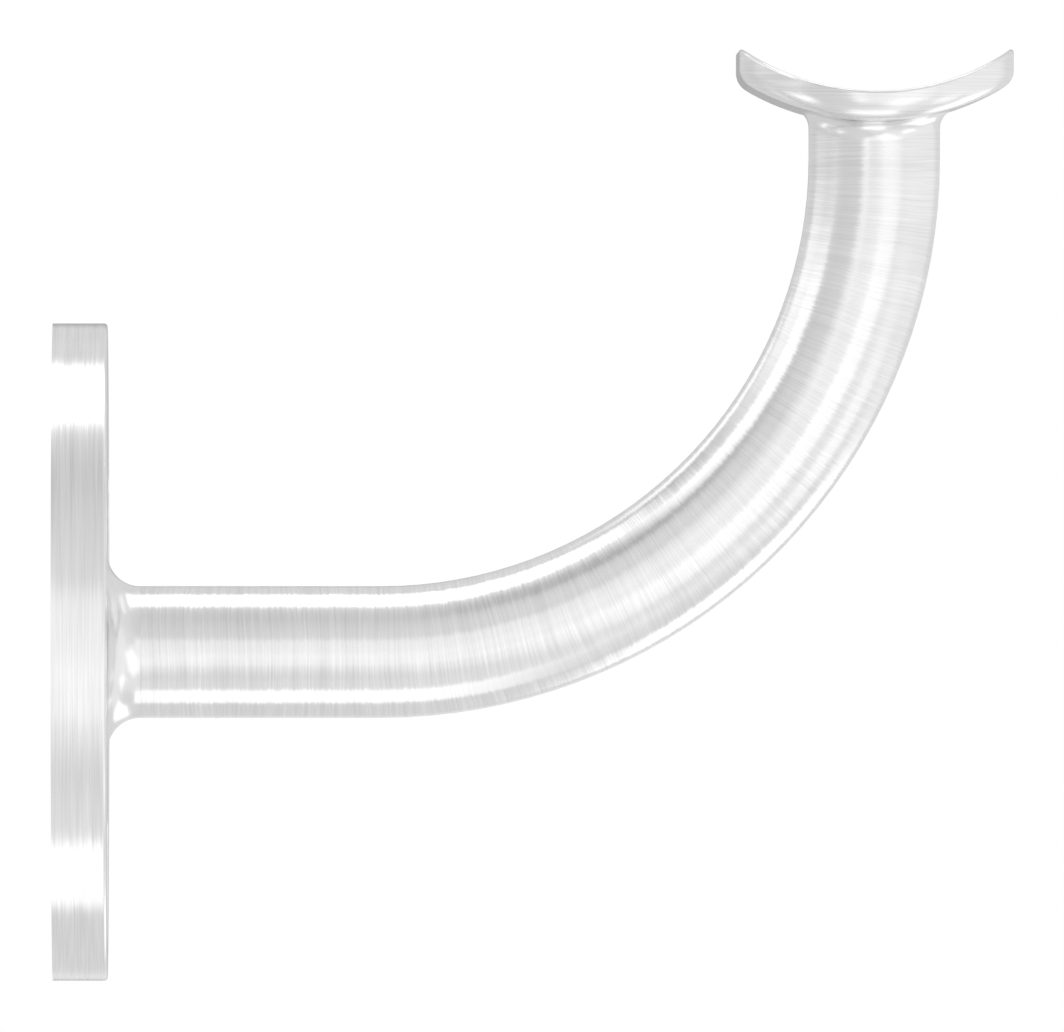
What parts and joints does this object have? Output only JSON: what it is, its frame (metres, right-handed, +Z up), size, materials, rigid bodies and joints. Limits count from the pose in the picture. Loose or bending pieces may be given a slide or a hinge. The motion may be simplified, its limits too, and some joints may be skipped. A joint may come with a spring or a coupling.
{
  "type": "handrail bracket",
  "caption": "Wall-mounted handrail bracket: a round flange carries a bent bar that rises to a curved saddle, which holds a rail tube clear of the wall.",
  "frame": {"origin": "centre of the wall flange's back face, on the wall and on the axis of the arm's level run", "axes": "+X out of the wall along the level run, +Y along the handrail, +Z up"},
  "size_m": [0.0875, 0.06, 0.0848],
  "materials": {
    "wall_flange": "brushed satin, turned rim",
    "flange_back_weld": "faced flush, fine machining marks",
    "flange_fillet_weld": "hand-blended satin weld",
    "arm": "brushed satin, grain running round the bar",
    "saddle_fillet_weld": "hand-blended satin weld",
    "saddle_plate": "brushed satin, grain running along the edge",
    "saddle_seat_weld": "dressed flush with the cradle"
  },
  "bodies": {
    "root": {"wall_flange": "wall_flange", "flange_back_weld": "flange_back_weld", "flange_fillet_weld": "flange_fillet_weld", "arm": "arm", "saddle_fillet_weld": "saddle_fillet_weld", "saddle_plate": "saddle_plate", "saddle_seat_weld": "saddle_seat_weld"}
  },
  "joints": []
}
